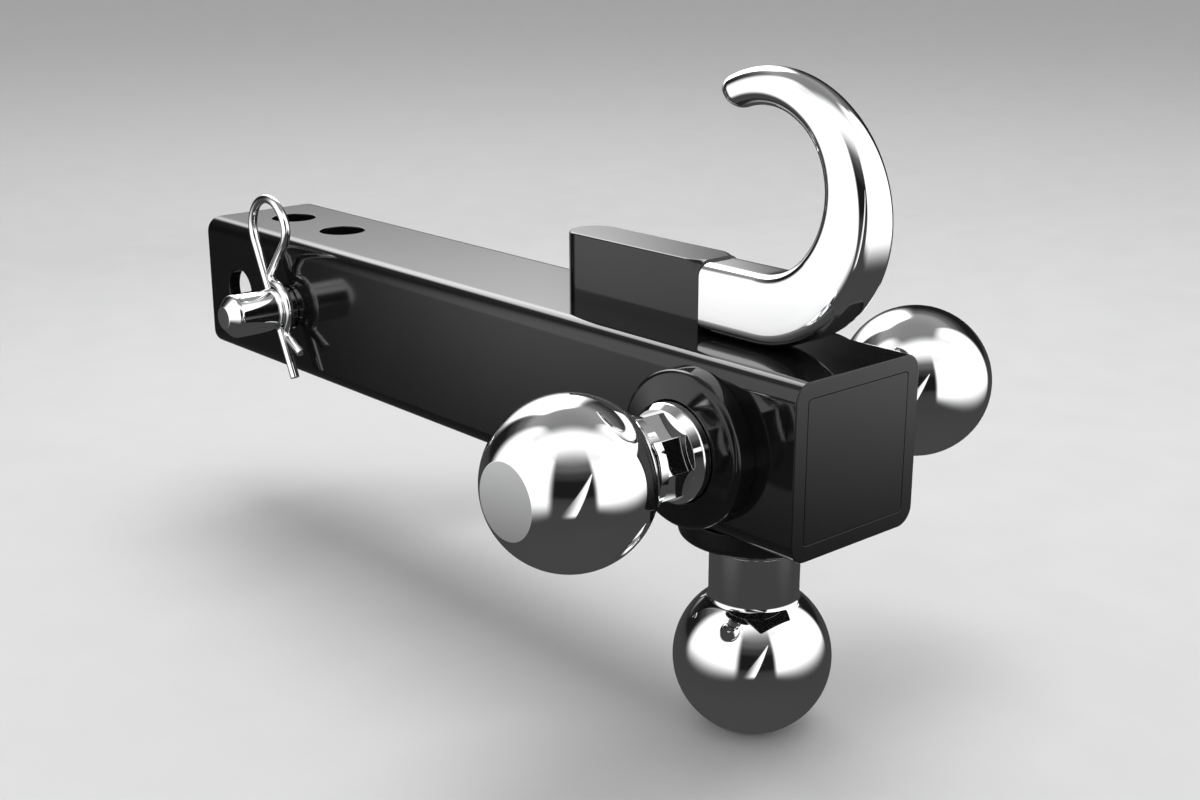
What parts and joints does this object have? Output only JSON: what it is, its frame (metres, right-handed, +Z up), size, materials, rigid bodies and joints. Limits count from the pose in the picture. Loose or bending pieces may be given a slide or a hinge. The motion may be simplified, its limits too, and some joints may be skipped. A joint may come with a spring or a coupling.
{
  "type": "trailer hitch ball mount",
  "caption": "Receiver hitch ball mount: square tube shank, chrome tow balls on front, rear and bottom, a chrome tow hook on top, and a bent hitch pin with spring clip.",
  "frame": {"origin": "where the shank's centre line crosses the axis of the hitch pin, half way between the tube's side walls", "axes": "+X along the shank from the receiver end to the ball head, +Z up towards the tow hook, -Y towards the front ball, the side the spring clip is on"},
  "size_m": [0.3143, 0.1858, 0.1956],
  "materials": {
    "gloss_black": "semi-gloss black powder coat",
    "chrome": "polished chrome plate",
    "zinc_steel": "bright zinc plate",
    "bare_steel": "machined and oiled"
  },
  "bodies": {
    "ball_mount": {"shank_tube": "gloss_black", "end_cap": "gloss_black", "front_boss": "gloss_black", "rear_boss": "gloss_black", "bottom_boss": "gloss_black", "hook_block": "gloss_black", "front_ball": "chrome", "rear_ball": "chrome", "bottom_ball": "chrome", "tow_hook": "chrome", "front_lock_washer": "zinc_steel", "rear_lock_washer": "zinc_steel", "bottom_lock_washer": "zinc_steel", "hook_block_screws": "zinc_steel", "hook_screw_washers": "zinc_steel", "head_block": "bare_steel"},
    "pin": {"hitch_pin": "chrome"},
    "clip": {"hitch_clip": "chrome"}
  },
  "joints": [
    {"name": "pin_slide", "type": "slide", "parent": "ball_mount", "child": "pin", "axis": [0, -1, 0], "range_m": [-0.003, 0.019]},
    {"name": "clip_pull", "type": "slide", "parent": "pin", "child": "clip", "axis": [-0.4305, 0, 0.9026], "range_m": [0, 0.045], "deforming": ["hitch_clip"]}
  ]
}
